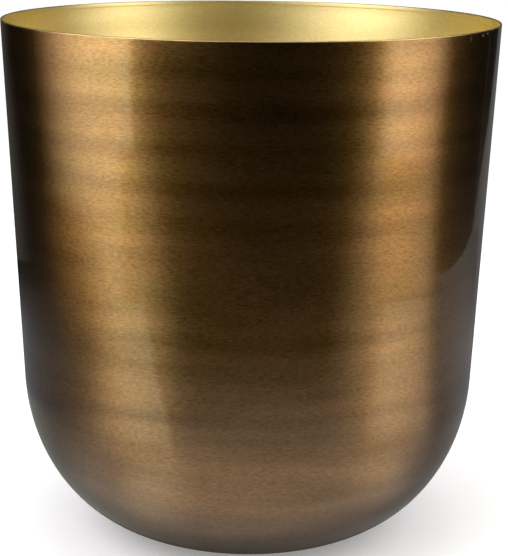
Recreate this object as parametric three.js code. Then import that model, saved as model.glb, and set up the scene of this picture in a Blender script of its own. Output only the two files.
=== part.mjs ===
// Metal flower pot: a thin spun shell with a slightly flared wall and a deep rounded bottom.
// It stands on small rubber pads. Millimetres, +Z up, origin on the floor under the pot's axis.

import * as THREE from 'three';

// Shell, measured on its outside
const RIM_RADIUS = 125;
const SHELL_HEIGHT = 264;
const WALL_FLARE = THREE.MathUtils.degToRad(2.2);
const SHEET = 0.8;
const CORNER_RISE = 84;
const FOOT_RADIUS = 52;

// Base: a flat ring to stand on, and a middle pressed up so that the pot cannot rock
const FOOT_RING_WIDTH = 14;
const KICK_UP = 1.6;
const KICK_UP_SLOPE = 9;

// Rim: the sheet's edge is turned into a narrow thicker lip and rounded over
const LIP_HEIGHT = 1.9;
const LIP_DEPTH = 0.3;
const LIP_SLOPE = 0.4;

// Pads stuck under the foot ring
const PAD_COUNT = 4;
const PAD_RADIUS = 5;
const PAD_THICKNESS = 2;
const PAD_EDGE = 0.6;
const ADHESIVE = 0.3;

// Steps along the curved stretches
const TURN_STEPS = 96;
const CORNER_STEPS = 12;
const KICK_UP_STEPS = 5;
const RIM_EDGE_STEPS = 4;
const PAD_TURN_STEPS = 24;
const PAD_EDGE_STEPS = 3;

const bronze = new THREE.MeshStandardMaterial({ color: 0xb08a57, roughness: 0.36, metalness: 1 });
const rubber = new THREE.MeshStandardMaterial({ color: 0x2a2826, roughness: 0.85, metalness: 0 });

// Points of a profile are (radius, height), with heights counted from the shell's underside.
// A station is a point of the outer skin together with the way the skin faces there.
function station(radius, height, facingOut, facingUp) {
  const point = new THREE.Vector2(radius, height);
  const normal = new THREE.Vector2(facingOut, facingUp).normalize();
  return { point, normal };
}

// The same station on a skin that lies further inside the metal.
function inset({ point, normal }, depth) {
  return point.clone().addScaledVector(normal, -depth);
}

function wallRadiusAt(height) {
  return RIM_RADIUS - Math.tan(WALL_FLARE) * (SHELL_HEIGHT - height);
}

// The raised middle of the base and the S-shaped slope that leads down to the foot ring.
function baseStations() {
  const slopeStart = FOOT_RADIUS - FOOT_RING_WIDTH - KICK_UP_SLOPE;
  const stations = [station(0, KICK_UP, 0, -1)];
  for (let i = 0; i <= KICK_UP_STEPS; i++) {
    const along = i / KICK_UP_STEPS;
    const height = KICK_UP * (1 + Math.cos(Math.PI * along)) / 2;
    const steepness = -KICK_UP * Math.PI * Math.sin(Math.PI * along) / (2 * KICK_UP_SLOPE);
    stations.push(station(slopeStart + along * KICK_UP_SLOPE, height, steepness, -1));
  }
  return stations;
}

// The corner is a quarter of an ellipse, level where it leaves the foot ring.
// Its reach is the one at which it ends exactly in line with the flared wall.
function cornerStations() {
  const span = wallRadiusAt(CORNER_RISE) - FOOT_RADIUS;
  const reach = Math.sqrt(span ** 2 - (CORNER_RISE * Math.tan(WALL_FLARE)) ** 2);
  const start = -Math.PI / 2;
  const end = -Math.atan(Math.tan(WALL_FLARE) * CORNER_RISE / reach);
  const stations = [];
  for (let i = 0; i <= CORNER_STEPS; i++) {
    const turn = THREE.MathUtils.lerp(start, end, i / CORNER_STEPS);
    const radius = FOOT_RADIUS + reach * Math.cos(turn);
    const height = CORNER_RISE + CORNER_RISE * Math.sin(turn);
    stations.push(station(radius, height, Math.cos(turn) / reach, Math.sin(turn) / CORNER_RISE));
  }
  return stations;
}

// The rim's section, from the outer skin over the rounded edge and down the lip to the inner skin.
function rimPoints() {
  const out = new THREE.Vector2(Math.cos(WALL_FLARE), -Math.sin(WALL_FLARE));
  const up = new THREE.Vector2(Math.sin(WALL_FLARE), Math.cos(WALL_FLARE));
  const edgeRadius = (SHEET + LIP_DEPTH) / 2;
  const startHeight = SHELL_HEIGHT - edgeRadius * (1 + Math.sin(WALL_FLARE));
  const start = new THREE.Vector2(wallRadiusAt(startHeight), startHeight);
  const centre = start.clone().addScaledVector(out, -edgeRadius);
  const points = [];
  for (let i = 0; i <= RIM_EDGE_STEPS; i++) {
    const turn = Math.PI * i / RIM_EDGE_STEPS;
    const point = centre.clone();
    point.addScaledVector(out, edgeRadius * Math.cos(turn));
    point.addScaledVector(up, edgeRadius * Math.sin(turn));
    points.push(point);
  }
  const lipRun = LIP_HEIGHT - edgeRadius;
  const lipFoot = centre.clone().addScaledVector(out, -edgeRadius).addScaledVector(up, -lipRun);
  const lipEnd = lipFoot.clone().addScaledVector(out, LIP_DEPTH).addScaledVector(up, -LIP_SLOPE);
  points.push(lipFoot, lipEnd);
  return points;
}

// Outside from the axis up to the rim, then inside back down to the axis.
function makeShell() {
  const skin = [...baseStations(), ...cornerStations()];
  const outside = skin.map(({ point }) => point);
  const inside = skin.map((place) => inset(place, SHEET)).reverse();
  return turned([...outside, ...rimPoints(), ...inside], TURN_STEPS);
}

// A pad lies on the floor with a small rounded edge there, and its flat top is stuck to the ring.
function makePad() {
  const points = [new THREE.Vector2(0, 0)];
  for (let i = 0; i <= PAD_EDGE_STEPS; i++) {
    const turn = (Math.PI / 2) * (i / PAD_EDGE_STEPS);
    const radius = PAD_RADIUS - PAD_EDGE * (1 - Math.sin(turn));
    points.push(new THREE.Vector2(radius, PAD_EDGE * (1 - Math.cos(turn))));
  }
  points.push(new THREE.Vector2(PAD_RADIUS, PAD_THICKNESS));
  points.push(new THREE.Vector2(0, PAD_THICKNESS));
  return turned(points, PAD_TURN_STEPS);
}

// Turns a profile round the vertical axis, with its heights along +Z.
function turned(points, steps) {
  return new THREE.LatheGeometry(points, steps).rotateX(Math.PI / 2);
}

function named(name, geometry, material) {
  const mesh = new THREE.Mesh(geometry, material);
  mesh.name = name;
  return mesh;
}

const pot = new THREE.Group();

const shell = named('pot_shell', makeShell(), bronze);
shell.position.z = PAD_THICKNESS + ADHESIVE;
pot.add(shell);

const padCircle = FOOT_RADIUS - FOOT_RING_WIDTH / 2;
for (let i = 0; i < PAD_COUNT; i++) {
  const bearing = 2 * Math.PI * (i + 1 / 2) / PAD_COUNT;
  const pad = named(`foot_pad_${i + 1}`, makePad(), rubber);
  pad.position.set(padCircle * Math.cos(bearing), padCircle * Math.sin(bearing), 0);
  pot.add(pad);
}

export default pot;
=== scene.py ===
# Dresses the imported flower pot: a spun metal shell, bronze outside and gold inside, on four foam pads.
import math

import bpy
from mathutils import Matrix, Vector


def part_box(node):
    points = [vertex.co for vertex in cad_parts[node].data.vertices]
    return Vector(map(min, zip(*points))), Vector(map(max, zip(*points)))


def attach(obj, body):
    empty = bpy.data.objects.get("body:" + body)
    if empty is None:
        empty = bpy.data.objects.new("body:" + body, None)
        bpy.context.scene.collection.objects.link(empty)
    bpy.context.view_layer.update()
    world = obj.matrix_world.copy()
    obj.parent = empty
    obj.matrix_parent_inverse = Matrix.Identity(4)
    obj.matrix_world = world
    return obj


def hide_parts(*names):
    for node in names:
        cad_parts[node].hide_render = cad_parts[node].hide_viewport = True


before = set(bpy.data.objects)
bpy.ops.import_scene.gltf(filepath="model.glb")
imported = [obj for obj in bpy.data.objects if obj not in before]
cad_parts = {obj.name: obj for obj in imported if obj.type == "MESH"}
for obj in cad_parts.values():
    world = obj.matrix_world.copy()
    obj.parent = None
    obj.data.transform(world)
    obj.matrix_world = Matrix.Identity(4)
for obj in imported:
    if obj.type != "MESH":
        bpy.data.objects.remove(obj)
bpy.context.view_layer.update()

bl_info = {
    "name": "Spun Metal Flower Pot",
    "version": (1, 0, 0),
    "blender": (4, 5, 0),
    "location": "3D View > Sidebar > Flower Pot",
    "description": "Builds the brushed shell, the foot pads and a small studio round a packed flower pot",
    "category": "Object",
}

MM = 0.001
SHELL_LOW, SHELL_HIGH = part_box("pot_shell")
PAD_NODES = sorted(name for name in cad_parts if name.startswith("foot_pad_"))
PAD_LOW, PAD_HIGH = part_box(PAD_NODES[0])

# Finishes along the shell's section, as numbers that the mesh can carry
OUTSIDE = 0
EDGE = 1
INSIDE = 2

# Steps round the rim's rounded edge
RIM_STEPS = 12


# Settings that a user would change

def length_setting(name, description, default):
    return bpy.props.FloatProperty(name=name, description=description, default=default, unit="LENGTH")


def angle_setting(name, description, degrees):
    return bpy.props.FloatProperty(
        name=name, description=description, default=math.radians(degrees), subtype="ANGLE")


def strength_setting(name, description, default):
    return bpy.props.FloatProperty(name=name, description=description, default=default)


def colour_setting(name, description, default):
    return bpy.props.FloatVectorProperty(
        name=name, description=description, default=default, subtype="COLOR", size=3)


class ShellSettings(bpy.types.PropertyGroup):
    """Sizes and colours of the spun shell"""

    rim_radius: length_setting(
        "Rim Radius", "Outer radius of the wall's line at the top edge", 124.99 * MM)
    height: length_setting(
        "Height", "From the foot ring to the top of the rim", SHELL_HIGH.z - SHELL_LOW.z)
    flare: angle_setting("Wall Flare", "How far the straight wall leans outwards", 2.2)
    sheet: length_setting("Sheet", "Thickness of the metal", 0.8 * MM)
    corner_rise: length_setting("Corner Rise", "Height over which the wall turns into the base", 84 * MM)
    foot_radius: length_setting("Foot Radius", "Outer radius of the flat ring under the base", 52 * MM)
    foot_ring_width: length_setting("Foot Ring Width", "Width of the flat ring under the base", 14 * MM)
    kick_up: length_setting("Kick Up", "How far the middle of the base is pressed up", 1.6 * MM)
    kick_up_slope: length_setting("Kick Up Slope", "Width of the slope round the raised middle", 9 * MM)
    lip_height: length_setting("Lip Height", "Height of the thicker lip inside the rim", 1.9 * MM)
    lip_depth: length_setting("Lip Depth", "How far the lip stands proud of the inner wall", 0.11 * MM)
    lip_slope: length_setting("Lip Slope", "Height over which the lip runs out", 0.8 * MM)
    turn_steps: bpy.props.IntProperty(
        name="Turn Steps", description="Faces round the shell", default=240, min=24)
    ripple: length_setting(
        "Ripple", "Depth of the shallow waves that spinning leaves in the wall", 0.03 * MM)
    bronze: colour_setting("Bronze", "Colour of the metal outside", (0.262, 0.147, 0.038))
    # Painted shade: this darker bronze takes over towards the base and stands for the shadowed table that
    # the lower wall mirrors.
    bronze_low_shade: colour_setting(
        "Low Bronze", "Darker tone that the bronze takes on towards the base", (0.186, 0.107, 0.050))
    bronze_warm: colour_setting(
        "Warm Bronze", "Redder tone that drifts through the bronze", (0.272, 0.139, 0.042))
    gold: colour_setting("Gold", "Colour of the metal inside", (0.92, 0.80, 0.40))
    brass: colour_setting("Brass", "Colour of the bare trimmed edge", (0.56, 0.40, 0.19))


class PadSettings(bpy.types.PropertyGroup):
    """Sizes and colours of the foot pads"""

    film_inset: length_setting(
        "Film Inset", "How far the adhesive film stays inside the pad's edge", 0.25 * MM)
    edge: length_setting("Edge", "Rounding of the pad's lower edge", 0.6 * MM)
    waist: length_setting("Waist", "How far the pressed pad draws in at half its height", 0.12 * MM)
    turn_steps: bpy.props.IntProperty(
        name="Turn Steps", description="Faces round one pad", default=48, min=12)
    foam: colour_setting("Foam", "Colour of the foam rubber", (0.018, 0.017, 0.016))
    film: colour_setting("Film", "Colour of the adhesive film", (0.62, 0.58, 0.48))


class StudioSettings(bpy.types.PropertyGroup):
    """Light, floor and camera"""

    floor: colour_setting("Floor", "Colour of the floor", (0.88, 0.88, 0.87))
    room_light: strength_setting("Room Light", "Strength of the even light from all round", 0.9)
    floor_lift: strength_setting("Floor Lift", "White added to the floor where it is seen directly", 0.22)
    top_light: strength_setting("Top Light", "Strength of the light over the pot", 3.0)
    left_light: strength_setting("Left Light", "Strength of the light screen on the left", 2.8)
    right_light: strength_setting("Right Light", "Strength of the light screen on the right", 2.7)
    eye_distance: length_setting("Eye Distance", "From the middle of the rim to the camera", 0.75)
    eye_rise: angle_setting("Eye Rise", "How far the camera stands above the rim's plane", 4.551)
    swing: angle_setting("Swing", "How far the camera looks to the right of the rim's middle", 0.21)
    dip: angle_setting("Dip", "How far the camera looks below the rim's middle", 10.079)
    lean: angle_setting("Lean", "How far the camera is turned about its own line of sight", 0.585)
    lens: bpy.props.FloatProperty(
        name="Lens", description="Focal length on a frame 36 mm long, in millimetres", default=94.8)


# Node trees

class Graph:
    """A node tree under construction. A socket given as a value is linked; anything else is set."""

    MIX_A = 6
    MIX_B = 7
    MIX_RESULT = 2

    def __init__(self, tree):
        self.tree = tree

    def add(self, kind, sockets=None, **settings):
        node = self.tree.nodes.new(kind)
        for name, value in settings.items():
            setattr(node, name, value)
        for name, value in (sockets or {}).items():
            self.put(node.inputs[name], value)
        return node

    def put(self, socket, value):
        if isinstance(value, bpy.types.NodeSocket):
            self.tree.links.new(value, socket)
        elif socket.type == "RGBA":
            socket.default_value = (*value, 1)
        else:
            socket.default_value = value

    def math(self, operation, *values):
        sockets = dict(enumerate(values))
        return self.add("ShaderNodeMath", sockets, operation=operation).outputs[0]

    def vector_math(self, operation, *values):
        sockets = dict(enumerate(values))
        return self.add("ShaderNodeVectorMath", sockets, operation=operation).outputs["Vector"]

    def split(self, vector):
        return self.add("ShaderNodeSeparateXYZ", {"Vector": vector}).outputs

    def join(self, x, y, z):
        return self.add("ShaderNodeCombineXYZ", {"X": x, "Y": y, "Z": z}).outputs[0]

    def noise(self, vector, scale=1.0, detail=2.0, roughness=0.5):
        sockets = {"Vector": vector, "Scale": scale, "Detail": detail, "Roughness": roughness}
        return self.add("ShaderNodeTexNoise", sockets).outputs[0]

    def span(self, value, low, high, to_low=0.0, to_high=1.0, smooth=False):
        sockets = {
            "Value": value, "From Min": low, "From Max": high, "To Min": to_low, "To Max": to_high}
        kind = "SMOOTHSTEP" if smooth else "LINEAR"
        return self.add("ShaderNodeMapRange", sockets, interpolation_type=kind).outputs["Result"]

    def mix(self, share, a, b, blend_type="MIX"):
        sockets = {0: share, self.MIX_A: a, self.MIX_B: b}
        node = self.add("ShaderNodeMix", sockets, data_type="RGBA", blend_type=blend_type)
        return node.outputs[self.MIX_RESULT]


def new_material(name):
    """A node material with an empty tree, and the graph that fills it."""
    material = bpy.data.materials.new(name)
    material.use_nodes = True
    material.node_tree.nodes.clear()
    return material, Graph(material.node_tree)


def finish_surface(graph, shader):
    output = graph.add("ShaderNodeOutputMaterial")
    graph.put(output.inputs["Surface"], shader.outputs[0])


# Metal finishes

class Lay:
    """Coordinates that follow the turning of the shell: x and y of the object, and the length
    along the section, which the mesh carries as the second value of its UV map."""

    def __init__(self, graph):
        self.graph = graph
        place = graph.add("ShaderNodeTexCoord").outputs["Object"]
        self.place = place
        self.x, self.y, self.z = graph.split(place)
        section = graph.split(graph.add("ShaderNodeUVMap", uv_map="section").outputs["UV"])
        self.turn, self.along = section[0], section[1]

    def grain(self, length, width, drift=0.0, detail=2.0, roughness=0.5):
        """Noise drawn out round the pot: length is its size round the pot, width its size across."""
        graph = self.graph
        along = self.along
        if drift:
            slow = graph.vector_math("SCALE", self.place)
            slow.node.inputs["Scale"].default_value = 1 / (3 * length)
            sway = graph.span(graph.noise(slow, detail=1.0), 0.0, 1.0, -drift, drift)
            along = graph.math("ADD", along, sway)
        across = graph.math("DIVIDE", along, width)
        around_x = graph.math("DIVIDE", self.x, length)
        around_y = graph.math("DIVIDE", self.y, length)
        return graph.noise(graph.join(around_x, around_y, across), detail=detail, roughness=roughness)

    def roller_waves(self, crest, pitch, drift):
        """From 0 to 1 in each of the narrow dips that the forming roller leaves between its broad
        crests. One crest lies at the given height, and they drift up and down by a little."""
        graph = self.graph
        slow = graph.noise(self.place, scale=1 / (60 * MM), detail=1.0)
        sway = graph.span(slow, 0.3, 0.7, -drift, drift)
        height = graph.math("ADD", graph.math("SUBTRACT", self.z, crest), sway)
        wave = graph.math("COSINE", graph.math("MULTIPLY", height, 2 * math.pi / pitch))
        narrowness = 1.7
        return graph.math("POWER", graph.span(wave, 1.0, -1.0), narrowness)

    def scratches(self, slant, length, width, amount):
        """A few thin scratches that cross the grain at a slant, in radians."""
        graph = self.graph
        around = graph.math("MULTIPLY", self.turn, 2 * math.pi * WALL_MEAN_RADIUS)
        run = graph.math("ADD", graph.math("MULTIPLY", around, math.cos(slant) / length),
                         graph.math("MULTIPLY", self.along, math.sin(slant) / length))
        across = graph.math("SUBTRACT", graph.math("MULTIPLY", self.along, math.cos(slant) / width),
                            graph.math("MULTIPLY", around, math.sin(slant) / width))
        lines = graph.noise(graph.join(run, across, 0.0), detail=0.0)
        first_seen, fully_cut = 0.79, 0.87
        return graph.span(lines, first_seen, fully_cut, 0.0, amount, smooth=True)

    def specks(self, spacing, size, share):
        """Small round specks in a share of the cells of the given spacing."""
        graph = self.graph
        cells = graph.add("ShaderNodeTexVoronoi", {"Vector": self.place, "Scale": 1 / spacing})
        chosen = graph.math("GREATER_THAN", graph.split(cells.outputs["Color"])[0], 1 - share)
        spot = graph.span(cells.outputs["Distance"], 0.5 * size / spacing, 0.3 * size / spacing)
        return graph.math("MULTIPLY", spot, chosen)

    def scuff(self, azimuth, height, radius, reach_round, reach_up, strength):
        """A small scuff: its place as an azimuth in degrees from the front towards +X and a
        height, and its half sizes round the pot and upwards."""
        graph = self.graph
        turn = math.radians(azimuth)
        reach_in = 4 * MM
        local = graph.add("ShaderNodeMapping", {
            "Vector": self.place, "Rotation": (0.0, 0.0, turn),
            "Location": (radius * math.sin(turn), -radius * math.cos(turn), height),
            "Scale": (reach_round, reach_in, reach_up)}, vector_type="TEXTURE").outputs["Vector"]
        distance = graph.add("ShaderNodeVectorMath", {0: local}, operation="LENGTH").outputs["Value"]
        return graph.span(distance, 1.0, 0.3, 0.0, strength, smooth=True)


# The forming roller's waves, with heights above the floor. Each end gives the height beyond
# which only a share of the waves is left, the height where they are full, and that share.
ROLLER_CREST = 209.3 * MM
ROLLER_PITCH = 17.8 * MM
ROLLER_DRIFT = 0.9 * MM
ROLLER_LOWER_END = (180 * MM, 215 * MM, 0.3)
ROLLER_UPPER_END = (258 * MM, 244 * MM, 0.1)

# The third colour, painted shade on the outside's bronze, takes over between these heights. The colour of
# dark places is multiplied by the deeper tint.
LOW_SHADE_HEIGHTS = (200 * MM, 30 * MM)
DEEPER = (1.0, 0.88, 0.62)

# Worn metal, and the radius on which the scratches are laid out
WORN = (0.46, 0.38, 0.28)
WORN_ROUGHER = 0.2
WORN_METALLIC = 0.6
WALL_MEAN_RADIUS = 122 * MM

# Scuffs on the outside: azimuth in degrees, height, half sizes round the pot and upwards, strength
SCUFF_RADIUS = 125 * MM
SCUFFS = (
    (53.5, 264.0 * MM, 0.7 * MM, 2.6 * MM, 0.4),
    (59.3, 264.5 * MM, 1.9 * MM, 1.0 * MM, 0.7),
    (62.0, 264.9 * MM, 2.1 * MM, 0.8 * MM, 0.8),
    (36.4, 169.4 * MM, 0.7 * MM, 0.5 * MM, 0.6),
    (-72.0, 263.5 * MM, 2.4 * MM, 0.5 * MM, 0.5),
    (148.0, 258.0 * MM, 1.8 * MM, 0.6 * MM, 0.6),
    (-160.0, 131.0 * MM, 3.2 * MM, 0.4 * MM, 0.5),
)


def brushed_metal(name, colours, roughness, anisotropy, coat, grain_depth, grain_tint, band_tint,
                  wave_tint, scuffs=()):
    """Metal brushed round the pot. The first two colours drift into each other and the third, painted
    shade for the outside's bronze, takes over towards the base. The grain, the roller's waves and the
    wide bands lighten and darken them, and where they darken them the hue is deeper too. The roughness
    drifts a little with the patches and the grain. Where the metal is worn it is paler, duller and
    rougher."""
    material, graph = new_material(name)
    lay = Lay(graph)
    strokes = lay.grain(2.3 * MM, 0.5 * MM, drift=0.1 * MM, detail=2.0, roughness=0.6)
    hairlines = lay.grain(20 * MM, 0.6 * MM, detail=2.0)
    bands = lay.grain(50 * MM, 9 * MM, drift=3 * MM, detail=1.0, roughness=0.3)
    rings = lay.grain(130 * MM, 12 * MM, drift=2 * MM, detail=1.0)
    patches = graph.noise(lay.place, scale=1 / (45 * MM), detail=2.0)

    tone = graph.span(graph.math("ADD", patches, bands), 0.8, 1.2, 0.0, 1.0, smooth=True)
    # Painted shade: the share of the third colour, which darkens the bronze towards the base
    low = graph.span(lay.z, *LOW_SHADE_HEIGHTS, smooth=True)
    colour = graph.mix(low, graph.mix(tone, colours[0], colours[1]), colours[2])

    light = graph.span(strokes, 0.3, 0.7, 1 - grain_tint, 1 + grain_tint)
    for pattern, tint in ((hairlines, 0.2 * grain_tint), (bands, band_tint), (rings, 1.1 * band_tint)):
        light = graph.math("MULTIPLY", light, graph.span(pattern, 0.3, 0.7, 1 - tint, 1 + tint))
    waves = lay.roller_waves(ROLLER_CREST, ROLLER_PITCH, ROLLER_DRIFT)
    reach = graph.span(lay.z, *ROLLER_LOWER_END, 1.0, smooth=True)
    reach = graph.math("MULTIPLY", reach, graph.span(lay.z, *ROLLER_UPPER_END, 1.0, smooth=True))
    waves = graph.math("MULTIPLY", waves, reach)
    crest_tint, dip_tint = 1 + 0.4 * wave_tint, 1 - wave_tint
    light = graph.math("MULTIPLY", light, graph.span(waves, 0.0, 1.0, crest_tint, dip_tint))
    deeper = graph.mix(1.0, colour, DEEPER, blend_type="MULTIPLY")
    colour = graph.mix(graph.span(light, 1.05, 0.7), colour, deeper)
    shade = graph.vector_math("SCALE", colour)
    graph.put(shade.node.inputs["Scale"], light)

    rough = graph.math("ADD", graph.span(patches, 0.3, 0.7, -0.012, 0.012), roughness)
    rough = graph.math("ADD", rough, graph.span(strokes, 0.3, 0.7, -0.01, 0.01))
    metallic = 1.0

    if scuffs:
        wear = graph.math("MAXIMUM", lay.scratches(0.5, 13 * MM, 0.3 * MM, 0.16),
                          lay.scratches(-1.1, 9 * MM, 0.3 * MM, 0.12))
        specks = graph.math("MULTIPLY", lay.specks(14 * MM, 0.7 * MM, 0.3), 0.3)
        wear = graph.math("MAXIMUM", wear, specks)
        rubbed = graph.span(strokes, 0.34, 0.5, 0.2, 1.0)
        for azimuth, height, reach_round, reach_up, amount in scuffs:
            spot = lay.scuff(azimuth, height, SCUFF_RADIUS, reach_round, reach_up, amount)
            wear = graph.math("MAXIMUM", wear, graph.math("MULTIPLY", spot, rubbed))
        shade = graph.mix(wear, shade, WORN)
        rough = graph.math("ADD", rough, graph.math("MULTIPLY", wear, WORN_ROUGHER))
        metallic = graph.span(wear, 0.0, 1.0, 1.0, WORN_METALLIC)

    relief = graph.math("ADD", strokes, graph.math("MULTIPLY", hairlines, 0.2))
    bump = graph.add("ShaderNodeBump", {"Strength": 1.0, "Distance": grain_depth, "Height": relief})
    tangent = graph.add("ShaderNodeTangent", direction_type="RADIAL", axis="Z")
    shader = graph.add("ShaderNodeBsdfPrincipled", {
        "Base Color": shade,
        "Metallic": metallic,
        "Roughness": rough,
        "Normal": bump.outputs["Normal"],
        "Anisotropic": anisotropy,
        "Anisotropic Rotation": 0.25,
        "Tangent": tangent.outputs["Tangent"],
        "Coat Weight": coat,
        "Coat Roughness": 0.05,
        "Coat IOR": 1.5,
    })
    finish_surface(graph, shader)
    return material


def bare_edge(colour):
    """The trimmed and rounded edge of the sheet: brighter, with fine marks from the tool."""
    material, graph = new_material("bare_edge")
    lay = Lay(graph)
    marks = lay.grain(4 * MM, 0.3 * MM, detail=2.0)
    tarnish = graph.noise(lay.place, scale=1 / (18 * MM), detail=3.0)
    dulled = tuple(0.72 * value for value in colour)
    shader = graph.add("ShaderNodeBsdfPrincipled", {
        "Base Color": graph.mix(graph.span(tarnish, 0.35, 0.7), colour, dulled),
        "Metallic": 1.0,
        "Roughness": graph.span(marks, 0.3, 0.7, 0.24, 0.40),
    })
    finish_surface(graph, shader)
    return material


def foam_rubber(colour):
    """Closed-cell foam with small pores and a little dust."""
    material, graph = new_material("foam_rubber")
    place = graph.add("ShaderNodeTexCoord").outputs["Object"]
    pores = graph.add("ShaderNodeTexVoronoi", {"Vector": place, "Scale": 1 / (0.45 * MM)})
    dust = graph.noise(place, scale=1 / (3 * MM), detail=4.0)
    dusty = tuple(value + 0.05 for value in colour)
    bump = graph.add("ShaderNodeBump", {
        "Strength": 0.6, "Distance": 0.06 * MM, "Height": pores.outputs["Distance"]})
    shader = graph.add("ShaderNodeBsdfPrincipled", {
        "Base Color": graph.mix(graph.span(dust, 0.45, 0.75), colour, dusty),
        "Roughness": graph.span(pores.outputs["Distance"], 0.0, 0.6, 0.72, 0.9),
        "Normal": bump.outputs["Normal"],
    })
    finish_surface(graph, shader)
    return material


def adhesive_film(colour):
    """The thin sticky layer between a pad and the metal, slightly cloudy."""
    material, graph = new_material("adhesive_film")
    place = graph.add("ShaderNodeTexCoord").outputs["Object"]
    cloud = graph.noise(place, scale=1 / (1.2 * MM), detail=2.0)
    darker = tuple(0.8 * value for value in colour)
    shader = graph.add("ShaderNodeBsdfPrincipled", {
        "Base Color": graph.mix(cloud, colour, darker),
        "Roughness": graph.span(cloud, 0.3, 0.7, 0.25, 0.45),
    })
    finish_surface(graph, shader)
    return material


# Sections. A station is (radius, height, facing out, facing up).

def lerp(a, b, share):
    return a + (b - a) * share


def wall_radius(s, height):
    return s.rim_radius - math.tan(s.flare) * (s.height - height)


def base_stations(s):
    """The raised middle of the base, its slope and the foot ring, from the axis outwards."""
    slope_start = s.foot_radius - s.foot_ring_width - s.kick_up_slope
    middle_steps, slope_steps, ring_steps = 6, 10, 4
    stations = [(slope_start * i / middle_steps, s.kick_up, 0.0, -1.0) for i in range(middle_steps)]
    for i in range(slope_steps + 1):
        share = i / slope_steps
        height = s.kick_up * (1 + math.cos(math.pi * share)) / 2
        steepness = -s.kick_up * math.pi * math.sin(math.pi * share) / (2 * s.kick_up_slope)
        stations.append((slope_start + share * s.kick_up_slope, height, steepness, -1.0))
    ring_start = s.foot_radius - s.foot_ring_width
    for i in range(1, ring_steps):
        stations.append((ring_start + s.foot_ring_width * i / ring_steps, 0.0, 0.0, -1.0))
    return stations


def corner_stations(s):
    """A quarter of an ellipse from the foot ring, ending in line with the flared wall."""
    steps = 44
    span = wall_radius(s, s.corner_rise) - s.foot_radius
    reach = math.sqrt(span ** 2 - (s.corner_rise * math.tan(s.flare)) ** 2)
    end = -math.atan(math.tan(s.flare) * s.corner_rise / reach)
    stations = []
    for i in range(steps + 1):
        turn = lerp(-math.pi / 2, end, i / steps)
        stations.append((
            s.foot_radius + reach * math.cos(turn), s.corner_rise * (1 + math.sin(turn)),
            math.cos(turn) / reach, math.sin(turn) / s.corner_rise))
    return stations


def wall_stations(s, low, high, steps):
    """The straight wall between two heights, without its ends."""
    out, up = math.cos(s.flare), -math.sin(s.flare)
    heights = [lerp(low, high, i / steps) for i in range(1, steps)]
    return [(wall_radius(s, height), height, out, up) for height in heights]


def rim_points(s):
    """The rounded edge and the lip, as points with their facings, from outside to inside."""
    out = Vector((math.cos(s.flare), -math.sin(s.flare)))
    up = Vector((math.sin(s.flare), math.cos(s.flare)))
    edge_radius = (s.sheet + s.lip_depth) / 2
    start_height = s.height - edge_radius * (1 + math.sin(s.flare))
    centre = Vector((wall_radius(s, start_height), start_height)) - out * edge_radius
    points = []
    for i in range(RIM_STEPS + 1):
        turn = math.pi * i / RIM_STEPS
        facing = out * math.cos(turn) + up * math.sin(turn)
        points.append((centre + facing * edge_radius, facing))
    foot = centre - out * edge_radius - up * (s.lip_height - edge_radius)
    lip_steps = 4
    for i in range(1, lip_steps + 1):
        points.append((points[RIM_STEPS][0].lerp(foot, i / lip_steps), -out))
    run_out = foot + out * s.lip_depth - up * s.lip_slope
    slope_steps = 4
    for i in range(1, slope_steps + 1):
        share = i / slope_steps
        eased = share * share * (3 - 2 * share)
        point = foot + out * s.lip_depth * eased - up * s.lip_slope * share
        points.append((point, -out))
    return points, start_height, run_out.y


def shell_section(s):
    """Rows of (point, facing, finish) from the middle of the underside, up the outside,
    over the rim and down the inside to the middle of the floor."""
    rim, rim_start, rim_end = rim_points(s)
    lower = base_stations(s) + corner_stations(s)
    outer_wall = wall_stations(s, lower[-1][1], rim_start, 90)
    inner_wall = wall_stations(s, lower[-1][1], rim_end, 40)
    rows = []
    for radius, height, facing_out, facing_up in lower + outer_wall:
        facing = Vector((facing_out, facing_up)).normalized()
        rows.append((Vector((radius, height)), facing, OUTSIDE))
    for number, (point, facing) in enumerate(rim):
        rows.append((point, facing, EDGE if number < RIM_STEPS else INSIDE))
    for radius, height, facing_out, facing_up in reversed(lower + inner_wall):
        facing = Vector((facing_out, facing_up)).normalized()
        rows.append((Vector((radius, height)) - facing * s.sheet, -facing, INSIDE))
    return rows


def store(mesh, name, kind, field, values):
    mesh.attributes.new(name, kind, "POINT").data.foreach_set(field, values)


def section_object(name, rows, base_height, ripple_ends=None):
    """A chain of vertices in the XZ plane that carries what the turning tree reads: each point's
    facing, its finish, the length along the section and how much of the ripple reaches it."""
    places = [(point.x, 0.0, point.y + base_height) for point, facing, finish in rows]
    mesh = bpy.data.meshes.new(name)
    mesh.from_pydata(places, [(i, i + 1) for i in range(len(places) - 1)], [])
    lengths = [0.0]
    for (before, _, _), (point, _, _) in zip(rows, rows[1:]):
        lengths.append(lengths[-1] + (point - before).length)
    ripples = [0.0] * len(rows)
    if ripple_ends:
        low, high = ripple_ends
        for number, (point, facing, finish) in enumerate(rows):
            if finish == OUTSIDE:
                share = min(max((point.y - low) / (high - low), 0.0), 1.0)
                ripples[number] = math.sin(math.pi * share)
    facings = [(facing.x, 0.0, facing.y) for point, facing, finish in rows]
    finishes = [finish for point, facing, finish in rows]
    store(mesh, "facing", "FLOAT_VECTOR", "vector", [value for facing in facings for value in facing])
    store(mesh, "finish", "INT", "value", finishes)
    store(mesh, "along", "FLOAT", "value", lengths)
    store(mesh, "ripple", "FLOAT", "value", ripples)
    piece = bpy.data.objects.new(name, mesh)
    bpy.context.scene.collection.objects.link(piece)
    return piece


# Geometry node trees

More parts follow.
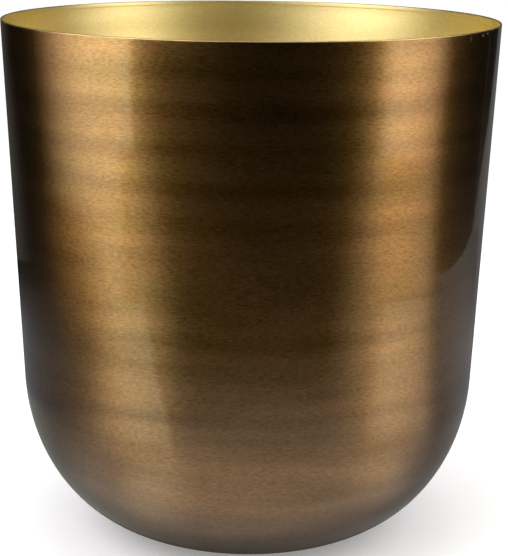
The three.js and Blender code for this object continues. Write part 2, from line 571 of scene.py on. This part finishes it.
def tree_inputs(tree, inputs):
    """Adds the tree's geometry sockets and its named inputs."""
    tree.interface.new_socket("Geometry", in_out="INPUT", socket_type="NodeSocketGeometry")
    for name, kind in inputs:
        tree.interface.new_socket(name, in_out="INPUT", socket_type=kind)
    tree.interface.new_socket("Geometry", in_out="OUTPUT", socket_type="NodeSocketGeometry")


def named_value(graph, name, kind):
    node = graph.add("GeometryNodeInputNamedAttribute", {"Name": name}, data_type=kind)
    return node.outputs["Attribute"]


def sampled(graph, geometry, value, kind, index):
    sockets = {"Geometry": geometry, "Value": value, "Index": index}
    return graph.add("GeometryNodeSampleIndex", sockets, data_type=kind, domain="POINT").outputs[0]


def turning_tree():
    """Turns a section round the vertical axis. The section is the object's own chain of points.
    The result is closed, carries a UV map of (share of a turn, length along the section), and
    has one material for each finish."""
    tree = bpy.data.node_groups.new("turn_section", "GeometryNodeTree")
    tree_inputs(tree, [
        ("Turn Steps", "NodeSocketInt"), ("Ripple Depth", "NodeSocketFloat"),
        ("Ripple Length", "NodeSocketFloat"), ("Seed", "NodeSocketInt"),
        ("Outside Finish", "NodeSocketMaterial"), ("Edge Finish", "NodeSocketMaterial"),
        ("Inside Finish", "NodeSocketMaterial")])
    graph = Graph(tree)
    given = graph.add("NodeGroupInput").outputs
    section = given["Geometry"]
    count = graph.add("GeometryNodeAttributeDomainSize", {"Geometry": section}).outputs["Point Count"]
    columns = graph.math("ADD", given["Turn Steps"], 1)
    grid = graph.add("GeometryNodeMeshGrid", {
        "Size X": 1.0, "Size Y": 1.0, "Vertices X": columns, "Vertices Y": count})

    # Where a grid point lies: its share of the turn, and which point of the section it is
    place = graph.split(graph.add("GeometryNodeInputPosition").outputs[0])
    turn = graph.math("ADD", place[0], 0.5)
    last = graph.math("SUBTRACT", count, 1)
    step = graph.math("MULTIPLY", graph.math("ADD", place[1], 0.5), last)
    point_number = graph.math("ROUND", step)
    face_number = graph.math("FLOOR", step)

    finish = sampled(graph, section, named_value(graph, "finish", "INT"), "INT", face_number)
    with_finish = graph.add("GeometryNodeStoreNamedAttribute", {
        "Geometry": grid.outputs["Mesh"], "Name": "finish", "Value": finish},
        data_type="INT", domain="FACE")
    along = sampled(graph, section, named_value(graph, "along", "FLOAT"), "FLOAT", point_number)
    with_uv = graph.add("GeometryNodeStoreNamedAttribute", {
        "Geometry": with_finish.outputs["Geometry"], "Name": "section",
        "Value": graph.join(turn, along, 0.0)}, data_type="FLOAT2", domain="CORNER")

    # The turned place, moved in and out by the ripple
    position = graph.add("GeometryNodeInputPosition").outputs[0]
    flat = sampled(graph, section, position, "FLOAT_VECTOR", point_number)
    facing = sampled(
        graph, section, named_value(graph, "facing", "FLOAT_VECTOR"), "FLOAT_VECTOR", point_number)
    share = sampled(graph, section, named_value(graph, "ripple", "FLOAT"), "FLOAT", point_number)
    angle = graph.math("MULTIPLY", turn, 2 * math.pi)
    wave_place = graph.join(
        graph.math("MULTIPLY", graph.math("COSINE", angle), 0.4),
        graph.math("MULTIPLY", graph.math("SINE", angle), 0.4),
        graph.math("ADD", graph.math("DIVIDE", along, given["Ripple Length"]), given["Seed"]))
    wave = graph.span(graph.noise(wave_place, detail=2.0), 0.0, 1.0, -1.0, 1.0)
    depth = graph.math("MULTIPLY", graph.math("MULTIPLY", wave, share), given["Ripple Depth"])
    push = graph.vector_math("SCALE", facing)
    graph.put(push.node.inputs["Scale"], depth)
    turned = graph.add("ShaderNodeVectorRotate", {
        "Vector": graph.vector_math("ADD", flat, push), "Angle": angle}, rotation_type="Z_AXIS")
    moved = graph.add("GeometryNodeSetPosition", {
        "Geometry": with_uv.outputs["Geometry"], "Position": turned.outputs[0]})

    closed = graph.add("GeometryNodeMergeByDistance", {
        "Geometry": moved.outputs["Geometry"], "Distance": 0.002 * MM})
    smooth = graph.add("GeometryNodeSetShadeSmooth", {"Geometry": closed.outputs["Geometry"]})
    whole = graph.add("GeometryNodeRealizeInstances", {"Geometry": smooth.outputs["Geometry"]})
    geometry = graph.add("GeometryNodeSetMaterial", {
        "Geometry": whole.outputs["Geometry"],
        "Material": given["Outside Finish"]}).outputs["Geometry"]
    for number, name in {EDGE: "Edge Finish", INSIDE: "Inside Finish"}.items():
        chosen = graph.add("FunctionNodeCompare", data_type="INT", operation="EQUAL")
        whole_numbers = [socket for socket in chosen.inputs if socket.type == "INT"]
        graph.put(whole_numbers[0], named_value(graph, "finish", "INT"))
        graph.put(whole_numbers[1], number)
        geometry = graph.add("GeometryNodeSetMaterial", {
            "Geometry": geometry, "Selection": chosen.outputs[0],
            "Material": given[name]}).outputs["Geometry"]
    graph.put(graph.add("NodeGroupOutput").inputs[0], geometry)
    return tree


def ring_tree():
    """Sets copies of a piece on a circle, evenly spaced, the first half a step past +X."""
    tree = bpy.data.node_groups.new("ring_of_copies", "GeometryNodeTree")
    tree_inputs(tree, [
        ("Count", "NodeSocketInt"), ("Radius", "NodeSocketFloat"),
        ("Lower Finish", "NodeSocketMaterial"), ("Upper Finish", "NodeSocketMaterial"),
        ("Finish Height", "NodeSocketFloat")])
    graph = Graph(tree)
    given = graph.add("NodeGroupInput").outputs
    circle = graph.add("GeometryNodeMeshCircle", {
        "Vertices": given["Count"], "Radius": given["Radius"]})
    half_step = graph.math("DIVIDE", math.pi, given["Count"])
    turned = graph.add("GeometryNodeTransform", {
        "Geometry": circle.outputs[0], "Rotation": graph.join(0.0, 0.0, half_step)})
    copies = graph.add("GeometryNodeInstanceOnPoints", {
        "Points": turned.outputs[0], "Instance": given["Geometry"]})
    whole = graph.add("GeometryNodeRealizeInstances", {"Geometry": copies.outputs[0]})
    height = graph.split(graph.add("GeometryNodeInputPosition").outputs[0])[2]
    upper = graph.add("FunctionNodeCompare", {0: height, 1: given["Finish Height"]},
                      data_type="FLOAT", operation="GREATER_THAN")
    lower = graph.add("GeometryNodeSetMaterial", {
        "Geometry": whole.outputs[0], "Material": given["Lower Finish"]})
    both = graph.add("GeometryNodeSetMaterial", {
        "Geometry": lower.outputs[0], "Selection": upper.outputs[0], "Material": given["Upper Finish"]})
    graph.put(graph.add("NodeGroupOutput").inputs[0], both.outputs[0])
    return tree


def run_tree(piece, tree, values):
    """Runs a tree on a piece and returns the result as a plain mesh. The piece is removed."""
    modifier = piece.modifiers.new(tree.name, "NODES")
    modifier.node_group = tree
    sockets = {item.name: item.identifier for item in tree.interface.items_tree
               if item.item_type == "SOCKET" and item.in_out == "INPUT"}
    for name, value in values.items():
        modifier[sockets[name]] = value
    graph = bpy.context.evaluated_depsgraph_get()
    mesh = bpy.data.meshes.new_from_object(piece.evaluated_get(graph))
    bpy.data.objects.remove(piece)
    if mesh.materials[0] is None:
        mesh.materials.pop(index=0)
    return mesh


def add_piece(name, mesh, body, slot, *nodes):
    """Puts a finished mesh in the scene as a piece that stands for the given nodes."""
    mesh.name = name
    piece = bpy.data.objects.new(name, mesh)
    bpy.context.scene.collection.objects.link(piece)
    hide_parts(*nodes)
    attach(piece, body)
    return piece


# Stage

def arc_card(name, rows, material, reach=math.inf):
    """A card bent round the pot's axis. A row is (radius, height, start, end): the card's place
    and its width there, as two azimuths in degrees from the front towards +X. The rows run from
    its lower edge to its upper one. Its UV map runs from 0 to 1 across it and along it. The card
    is cut straight where it reaches that far to the right."""
    steps = 24
    lengths = [0.0]
    for before, row in zip(rows, rows[1:]):
        lengths.append(lengths[-1] + math.dist(before[:2], row[:2]))
    places, faces, corners = [], [], []
    for i in range(steps + 1):
        for radius, height, start, end in rows:
            turn = math.radians(lerp(start, end, i / steps))
            cut = min(1.0, reach / max(radius * math.sin(turn), 0.001))
            places.append((cut * radius * math.sin(turn), -cut * radius * math.cos(turn), height))
    count = len(rows)
    for i in range(steps):
        left, right = i / steps, (i + 1) / steps
        for j in range(count - 1):
            first = i * count + j
            faces.append((first, first + count, first + count + 1, first + 1))
            low, high = lengths[j] / lengths[-1], lengths[j + 1] / lengths[-1]
            corners += [(left, low), (right, low), (right, high), (left, high)]
    mesh = bpy.data.meshes.new(name)
    mesh.from_pydata(places, [], faces)
    layer = mesh.uv_layers.new(name="card")
    for corner, value in zip(layer.data, corners):
        corner.uv = value
    mesh.materials.append(material)
    card = bpy.data.objects.new(name, mesh)
    bpy.context.scene.collection.objects.link(card)
    card.visible_camera = False
    return card


def ring_card(name, profile, material):
    """An arc card that goes all the way round."""
    return arc_card(name, [(radius, height, -180, 180) for radius, height in profile], material)


def faded(graph, value, start, end, levels=(0.0, 0.0)):
    """1 in the middle of the span from 0 to 1, falling off to the two levels over its start and
    its end."""
    rising = graph.span(value, 0.0, max(start, 0.001), levels[0], 1.0, smooth=True)
    falling = graph.span(value, 1 - max(end, 0.001), 1.0, 1.0, levels[1], smooth=True)
    return graph.math("MULTIPLY", rising, falling)


def cloth(name, colour, strength, left=0.0, right=0.0, bottom=0.0, top=0.0, sides=(0.0, 0.0),
          low=1.0, knee=(0.0, 1.0), thin=None):
    """A card's cloth: it glows, or is dark where the colour is, and thins out over the shares of
    the card that are given for its four sides, to nothing or to the levels of its left and right
    side. Its lower part has the share low of its strength, which grows between the two knees.
    Where it thins out, its colour goes over into the thin one."""
    material, graph = new_material(name)
    across, up, _ = graph.split(graph.add("ShaderNodeUVMap", uv_map="card").outputs["UV"])
    share = graph.math(
        "MULTIPLY", faded(graph, across, left, right, sides), faded(graph, up, bottom, top))
    strength = graph.math("MULTIPLY", graph.span(up, *knee, low, 1.0), strength)
    clear = graph.add("ShaderNodeBsdfTransparent")
    tone = graph.mix(share, thin, colour) if thin else colour
    glow = graph.add("ShaderNodeEmission", {"Color": tone, "Strength": strength})
    mixed = graph.add("ShaderNodeMixShader", {0: share})
    graph.put(mixed.inputs[1], clear.outputs[0])
    graph.put(mixed.inputs[2], glow.outputs[0])
    finish_surface(graph, mixed)
    return material


def seen_directly(graph):
    """1 for a ray from the camera or off a glossy or clear surface, 0 for light on a dull one."""
    path = graph.add("ShaderNodeLightPath").outputs
    either = graph.math("MAXIMUM", path["Is Camera Ray"], path["Is Glossy Ray"])
    return graph.math("MAXIMUM", either, path["Is Transmission Ray"])


def paper(colour, lift):
    """Floor paper with a hardly visible mottling. The lift makes it as white as the backdrop and
    leaves the shadow."""
    material, graph = new_material("floor_paper")
    place = graph.add("ShaderNodeTexCoord").outputs["Object"]
    mottle = graph.noise(place, scale=7.0, detail=3.0)
    darker = tuple(0.985 * value for value in colour)
    shader = graph.add("ShaderNodeBsdfPrincipled", {
        "Base Color": graph.mix(mottle, colour, darker), "Roughness": 0.9,
        "Specular IOR Level": 0.2, "Emission Color": (1.0, 1.0, 1.0),
        "Emission Strength": graph.math("MULTIPLY", seen_directly(graph), lift)})
    finish_surface(graph, shader)
    return material


def make_floor(studio):
    radius, corners = 9.0, 96
    turns = [2 * math.pi * i / corners for i in range(corners)]
    mesh = bpy.data.meshes.new("floor")
    mesh.from_pydata([(radius * math.cos(t), radius * math.sin(t), 0.0) for t in turns], [],
                     [tuple(range(corners))])
    mesh.materials.append(paper(studio.floor, studio.floor_lift))
    floor = bpy.data.objects.new("floor", mesh)
    bpy.context.scene.collection.objects.link(floor)


def make_backdrop(studio):
    """A world that is white where it is seen and gives the room's even light elsewhere."""
    world = bpy.data.worlds.new("studio")
    world.use_nodes = True
    graph = Graph(world.node_tree)
    background = world.node_tree.nodes["Background"]
    graph.put(background.inputs["Color"], (1.0, 1.0, 1.0))
    level = graph.span(seen_directly(graph), 0.0, 1.0, studio.room_light, 1.0)
    graph.put(background.inputs["Strength"], level)
    bpy.context.scene.world = world


def make_screens(studio):
    """Two tall light screens beside the pot, their gleam on the table painted as glowing cards, a light
    over it, and dark cards. The dim cards on the table round the foot and beside it are painted shade of
    the table as the metal mirrors it, and the dark ring under the foot is a painted contact shadow. The
    high screens and the light over the pot also light dull surfaces. The cards in the two lists are seen
    in reflections alone. Cards that overlap differ in height or radius."""
    left_colour, right_colour = (0.98, 1.0, 0.79), (1.0, 0.93, 0.75)
    warm = (1.0, 0.80, 0.56)
    knee = (0.34, 0.46)
    lights = [
        arc_card("screen_left", [
            (0.16, 0.004, -66, -18), (0.30, 0.004, -70, -29), (0.50, 0.004, -77, -43),
            (0.70, 0.004, -87, -46), (0.88, 0.004, -104, -48.5), (0.90, 0.03, -105, -48.5),
            (0.90, 0.25, -107, -47), (0.90, 1.10, -110, -40)],
            cloth("left_cloth", left_colour, studio.left_light, left=0.66, right=0.08,
                  bottom=0.07, top=0.25, sides=(0.02, 0.0), low=0.56, knee=knee, thin=warm)),
        arc_card("screen_left_side", [
            (0.16, 0.003, -46, 8), (0.50, 0.003, -60, -25), (0.92, 0.03, -60, -37),
            (0.92, 1.00, -60, -38)],
            cloth("left_side_cloth", left_colour, 0.26 * studio.left_light,
                  left=0.3, right=0.7, bottom=0.07, top=0.25)),
        arc_card("screen_right", [
            (0.16, 0.004, 35, 84), (0.30, 0.004, 44, 92), (0.50, 0.004, 52, 98),
            (0.86, 0.004, 51, 90), (0.90, 0.03, 52.5, 92), (0.90, 0.12, 52, 97),
            (0.90, 0.25, 51, 96), (0.90, 1.10, 48, 98)],
            cloth("right_cloth", right_colour, studio.right_light, left=0.25, right=0.7,
                  bottom=0.07, top=0.25, low=0.56, knee=knee, thin=warm)),
        arc_card("screen_right_side", [
            (0.16, 0.003, 14, 86), (0.50, 0.003, 32, 94), (0.92, 0.03, 43, 94),
            (0.92, 1.00, 44, 96)],
            cloth("right_side_cloth", right_colour, 0.25 * studio.right_light, left=0.4,
                  right=0.25, bottom=0.07, top=0.25, sides=(0.0, 0.1))),
        arc_card("gleam_near", [(0.09, 0.0035, -95, 85), (0.34, 0.0035, -95, 85)],
                 cloth("near_gleam", (1.0, 0.93, 0.80), 0.78,
                       left=0.4, right=0.5, bottom=0.2, top=0.5)),
        arc_card("gleam_left", [(0.09, 0.0038, -54, -14), (0.25, 0.0038, -54, -14)],
                 cloth("left_gleam", (1.0, 0.97, 0.80), 1.3,
                       left=0.5, right=0.5, bottom=0.4, top=0.5)),
        arc_card("gleam_right", [(0.10, 0.0041, 28, 72), (0.26, 0.0041, 28, 72)],
                 cloth("right_gleam", (1.0, 0.90, 0.72), 1.1,
                       left=0.5, right=0.5, bottom=0.4, top=0.5)),
    ]
    arc_card("screen_left_high", [
        (0.89, 0.30, -107, -33), (0.84, 0.60, -107, -4), (0.7, 1.5, -107, -4)],
        cloth("left_high_cloth", (0.97, 0.94, 1.07), 1.15 * studio.left_light,
              left=0.24, right=0.36, bottom=0.16, top=0.2, thin=(0.98, 1.02, 0.62)))
    arc_card("screen_right_high", [
        (0.89, 0.30, 42, 104), (0.84, 0.60, 32, 112), (0.7, 1.5, 32, 112)],
        cloth("right_high_cloth", (0.97, 0.94, 1.05), 1.04 * studio.right_light,
              left=0.4, right=0.22, bottom=0.16, top=0.2, thin=(0.98, 1.02, 0.62)))
    ring_card("light_above", [(0.01, 1.2), (0.35, 1.2)],
              cloth("above_cloth", (1.0, 1.0, 1.0), studio.top_light, top=0.3))
    dark = (0.004, 0.004, 0.004)
    cards = [
        # Grey cards on the table to the right and behind, seen in reflections alone; the one on the right
        # ends in a straight edge.
        arc_card("grey_card_right", [
            (0.2, 0.002, 82, 140), (0.4, 0.002, 86, 140), (0.75, 0.002, 90, 140)],
                 cloth("right_grey", (0.265, 0.257, 0.256), 1.0, left=0.15, right=0.8, bottom=0.3,
                       sides=(0.0, 0.3)), reach=0.58),
        arc_card("grey_card_behind", [(0.2, 0.0018, 139.5, 180), (0.75, 0.0018, 139.5, 180)],
                 cloth("behind_grey", (0.126, 0.120, 0.126), 1.0, bottom=0.3)),
        ring_card("dark_tent", [(0.22, 0.001), (0.95, 0.001), (1.05, 0.1), (1.05, 1.7), (0.02, 2.2)],
                  cloth("tent_felt", dark, 1.0, bottom=0.065)),
        # Painted shade of the table round the pot, seen in reflections alone, darker than the table that
        # the camera sees.
        ring_card("floor_shade_card", [(0.05, 0.0005), (0.6, 0.0005)],
                  cloth("painted_floor_shade", (0.56, 0.56, 0.57), 1.0)),
        # Darker painted shade of the table behind and beside the pot, seen in reflections alone.
        arc_card("floor_shade_card_behind", [(0.05, 0.0015, 62, 305), (0.6, 0.0015, 62, 305)],
                 cloth("painted_floor_shade_behind", (0.13, 0.13, 0.14), 1.0,
                       left=0.12, right=0.12, bottom=0.45, top=0.5)),
        arc_card("shade_left", [
            (0.07, 0.0028, -140, 40), (0.11, 0.0028, -140, -5), (0.13, 0.0028, -140, -38),
            (0.26, 0.0028, -140, -50)],
            cloth("left_shade", (0.20, 0.205, 0.19), 1.0,
                  left=0.2, right=0.5, bottom=0.2, top=0.3)),
        arc_card("shade_right", [
            (0.07, 0.0029, -60, 150), (0.11, 0.0029, -10, 150), (0.13, 0.0029, 30, 150),
            (0.30, 0.0029, 56, 150)],
            cloth("right_shade", (0.18, 0.175, 0.175), 1.0,
                  left=0.5, right=0.3, bottom=0.15, top=0.6)),
        # Painted contact shadow: a dark ring on the table under the foot, seen in reflections alone.
        ring_card("foot_shade", [(0.0, 0.0025), (0.118, 0.0025)],
                  cloth("painted_contact_shadow", (0.06, 0.054, 0.038), 1.0, top=0.39)),
        arc_card("wall_rear_right", [
            (0.74, 0.0, 126.5, 180), (0.74, 0.065, 133, 180), (0.74, 0.11, 138.5, 180),
            (0.74, 0.17, 142.5, 180), (0.74, 1.5, 150, 180)],
            cloth("rear_right_wall", (0.12, 0.12, 0.12), 1.0)),
        arc_card("gap_rear_right", [(0.72, 0.0, 127.4, 128.8), (0.72, 1.5, 127.4, 128.8)],
                 cloth("rear_right_gap", (0.06, 0.055, 0.05), 1.0, left=0.4, right=0.4)),
        arc_card("wall_rear_left", [
            (0.6, 0.0, -180, -110), (0.6, 0.04, -180, -114), (0.6, 0.09, -180, -118),
            (0.6, 0.135, -180, -122), (0.6, 0.18, -180, -127), (0.6, 1.5, -180, -127)],
            cloth("rear_left_wall", (0.050, 0.048, 0.044), 1.0, right=0.4)),
    ]
    for card in lights + cards:
        card.visible_diffuse = False
        card.visible_shadow = False


def make_camera(studio):
    target = Vector((0.0, 0.0, SHELL_HIGH.z))
    rise = studio.eye_rise
    eye = target + studio.eye_distance * Vector((0.0, -math.cos(rise), math.sin(rise)))
    ahead = (target - eye).normalized()
    right = Vector((1.0, 0.0, 0.0))
    up = right.cross(ahead)
    ahead, up = turned_pair(ahead, up, -studio.dip)
    ahead, right = turned_pair(ahead, right, studio.swing)
    right, up = turned_pair(right, up, studio.lean)
    camera = bpy.data.objects.new("camera", bpy.data.cameras.new("camera"))
    camera.matrix_world = Matrix.Translation(eye) @ Matrix((right, up, -ahead)).transposed().to_4x4()
    camera.data.lens = studio.lens
    camera.data.sensor_width = 36.0
    bpy.context.scene.collection.objects.link(camera)
    bpy.context.scene.camera = camera


def turned_pair(first, second, angle):
    """Two square directions turned together, the first towards the second."""
    cosine, sine = math.cos(angle), math.sin(angle)
    return first * cosine + second * sine, second * cosine - first * sine


# Operators

class POT_OT_spin_shell(bpy.types.Operator):
    """Turn the shell from its section and give it its brushed finishes"""

    bl_idname = "flower_pot.spin_shell"
    bl_label = "Spin Shell"

    def execute(self, context):
        s = context.scene.pot_shell
        outside = brushed_metal(
            "brushed_bronze", (s.bronze, s.bronze_warm, s.bronze_low_shade),
            roughness=0.29, anisotropy=0.7, coat=1.0,
            grain_depth=0.003 * MM, grain_tint=0.31, band_tint=0.10, wave_tint=0.15,
            scuffs=SCUFFS)
        inside = brushed_metal(
            "satin_gold", (s.gold, s.gold, s.gold), roughness=0.43, anisotropy=0.5, coat=0.0,
            grain_depth=0.006 * MM, grain_tint=0.06, band_tint=0.03, wave_tint=0.02)
        rows = shell_section(s)
        section = section_object("shell_section", rows, SHELL_LOW.z, (0.0, s.height))
        mesh = run_tree(section, turning_tree(), {
            "Turn Steps": s.turn_steps, "Ripple Depth": s.ripple, "Ripple Length": 11 * MM,
            "Seed": 3, "Outside Finish": outside, "Edge Finish": bare_edge(s.brass),
            "Inside Finish": inside})
        add_piece("turned_shell", mesh, "root", "bronze_metal", "pot_shell")
        return {"FINISHED"}


class POT_OT_stick_pads(bpy.types.Operator):
    """Make the foam pads with their adhesive film and set them under the foot ring"""

    bl_idname = "flower_pot.stick_pads"
    bl_label = "Stick Pads"

    def execute(self, context):
        s = context.scene.pot_pads
        foam, film = foam_rubber(s.foam), adhesive_film(s.film)
        centre = (PAD_LOW + PAD_HIGH) / 2
        radius = (PAD_HIGH.x - PAD_LOW.x) / 2
        section = section_object("pad_section", pad_section(s, radius), 0.0)
        pad = run_tree(section, turning_tree(), {
            "Turn Steps": s.turn_steps, "Ripple Depth": 0.0, "Ripple Length": 1.0, "Seed": 0,
            "Outside Finish": foam, "Edge Finish": foam, "Inside Finish": film})
        single = bpy.data.objects.new("single_pad", pad)
        context.scene.collection.objects.link(single)
        mesh = run_tree(single, ring_tree(), {
            "Count": len(PAD_NODES), "Radius": math.hypot(centre.x, centre.y),
            "Lower Finish": foam, "Upper Finish": film, "Finish Height": PAD_HIGH.z})
        add_piece("foam_pads", mesh, "root", "pad_rubber", *PAD_NODES)
        return {"FINISHED"}


def pad_section(s, radius):
    """Rows of (point, facing, finish) round a pad and the adhesive film on its top."""
    height = PAD_HIGH.z
    film_top = SHELL_LOW.z
    film_radius = radius - s.film_inset
    points = [Vector((0.0, 0.0)), Vector(((radius - s.edge) / 2, 0.0))]
    edge_steps, side_steps = 6, 6
    for i in range(edge_steps + 1):
        turn = math.pi / 2 * i / edge_steps
        points.append(Vector((radius - s.edge * (1 - math.sin(turn)), s.edge * (1 - math.cos(turn)))))
    for i in range(1, side_steps + 1):
        share = i / side_steps
        draw_in = s.waist * math.sin(math.pi * share)
        points.append(Vector((radius - draw_in, lerp(s.edge, height, share))))
    points += [Vector((film_radius, height)), Vector((film_radius, film_top)), Vector((0.0, film_top))]
    return [(point, Vector((0.0, 1.0)), OUTSIDE) for point in points]


class POT_OT_set_stage(bpy.types.Operator):
    """Lay the floor, set the lights and their shades, and place the camera"""

    bl_idname = "flower_pot.set_stage"
    bl_label = "Set Stage"

    def execute(self, context):
        studio = context.scene.pot_studio
        make_floor(studio)
        make_backdrop(studio)
        make_screens(studio)
        make_camera(studio)
        context.scene.view_settings.view_transform = "Standard"
        return {"FINISHED"}


class POT_PT_sidebar(bpy.types.Panel):
    """Settings and steps of the flower pot"""

    bl_idname = "POT_PT_sidebar"
    bl_label = "Flower Pot"
    bl_space_type = "VIEW_3D"
    bl_region_type = "UI"
    bl_category = "Flower Pot"

    def draw(self, context):
        scene = context.scene
        steps = (
            (scene.pot_shell, POT_OT_spin_shell),
            (scene.pot_pads, POT_OT_stick_pads),
            (scene.pot_studio, POT_OT_set_stage),
        )
        for settings, operator in steps:
            box = self.layout.box()
            for name in settings.bl_rna.properties.keys():
                if name not in {"rna_type", "name"}:
                    box.prop(settings, name)
            box.operator(operator.bl_idname)


CLASSES = (
    ShellSettings, PadSettings, StudioSettings,
    POT_OT_spin_shell, POT_OT_stick_pads, POT_OT_set_stage, POT_PT_sidebar,
)


def register():
    for item in CLASSES:
        bpy.utils.register_class(item)
    bpy.types.Scene.pot_shell = bpy.props.PointerProperty(type=ShellSettings)
    bpy.types.Scene.pot_pads = bpy.props.PointerProperty(type=PadSettings)
    bpy.types.Scene.pot_studio = bpy.props.PointerProperty(type=StudioSettings)


def unregister():
    del bpy.types.Scene.pot_studio
    del bpy.types.Scene.pot_pads
    del bpy.types.Scene.pot_shell
    for item in reversed(CLASSES):
        bpy.utils.unregister_class(item)


def main():
    register()
    bpy.ops.flower_pot.spin_shell()
    bpy.ops.flower_pot.stick_pads()
    bpy.ops.flower_pot.set_stage()


if __name__ == "__main__":
    main()
